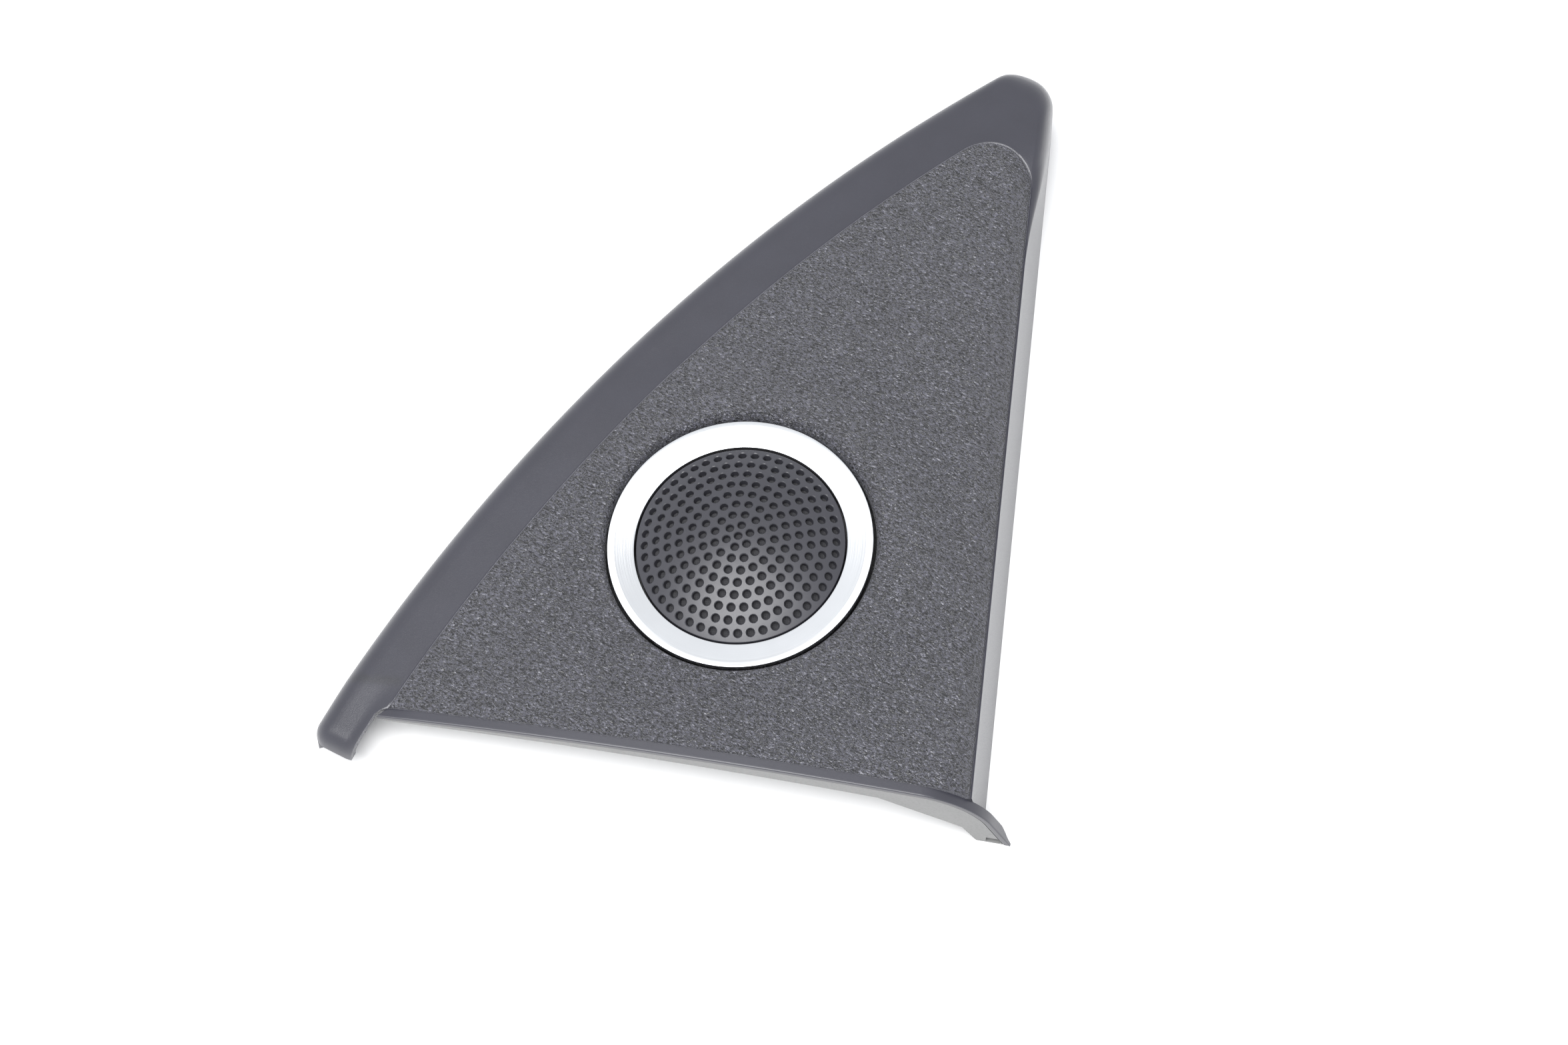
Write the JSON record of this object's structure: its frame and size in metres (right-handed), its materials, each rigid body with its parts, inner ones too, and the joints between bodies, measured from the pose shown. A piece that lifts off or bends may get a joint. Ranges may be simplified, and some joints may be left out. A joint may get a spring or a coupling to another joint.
{
  "type": "car tweeter",
  "caption": "Triangular door-mirror trim with a built-in dome tweeter behind a perforated domed grille and a bright metal ring.",
  "frame": {"origin": "centre of the resting rim, on the plane that the rim lies on", "axes": "+X along the open lower edge towards the foot, +Y towards the tip, +Z out of the face"},
  "size_m": [0.1262, 0.158, 0.0207],
  "materials": {
    "skin": "moulded leather grain, satin",
    "carrier": "plain moulded",
    "ring": "turned, fine concentric lines",
    "tape": "adhesive film",
    "bezel": "moulded black",
    "grille": "satin dark grey coat",
    "cloth": "fine woven",
    "foam": "closed-cell foam",
    "dome": "coated silk",
    "former": "polyimide film",
    "copper": "enamelled copper",
    "felt": "felt",
    "steel": "zinc plated",
    "magnet": "nickel plated",
    "contact": "tinned brass",
    "wire": "PVC insulation",
    "board": "solder resist",
    "capacitor": "heat-shrink sleeve",
    "socket": "natural nylon"
  },
  "bodies": {
    "trim": {"trim_skin": "skin", "carrier": "carrier", "trim_ring": "ring", "ring_tape": "tape", "bezel": "bezel", "grille": "grille", "acoustic_cloth": "cloth", "foam_gasket": "foam", "front_plate": "bezel", "surround": "dome", "damping_felt": "felt", "pole_piece": "steel", "magnet": "magnet", "yoke": "steel", "rear_housing": "bezel", "terminals": "contact", "tweeter_screws": "steel", "tweeter_leads": "wire", "crossover_board": "board", "capacitor": "capacitor", "connector_socket": "socket", "connector_pins": "contact", "board_screws": "steel", "spring_clips": "steel", "rattle_pads": "foam"},
    "moving_dome": {"dome_diaphragm": "dome", "coil_former": "former", "voice_coil": "copper", "coil_leads": "copper"}
  },
  "joints": [
    {"name": "dome_travel", "type": "slide", "parent": "trim", "child": "moving_dome", "axis": [-0.0854, -0.0349, 0.9957], "range_m": [-0.0003, 0.0003], "stiffness_N_per_m": 150, "deforming": ["surround"]}
  ]
}
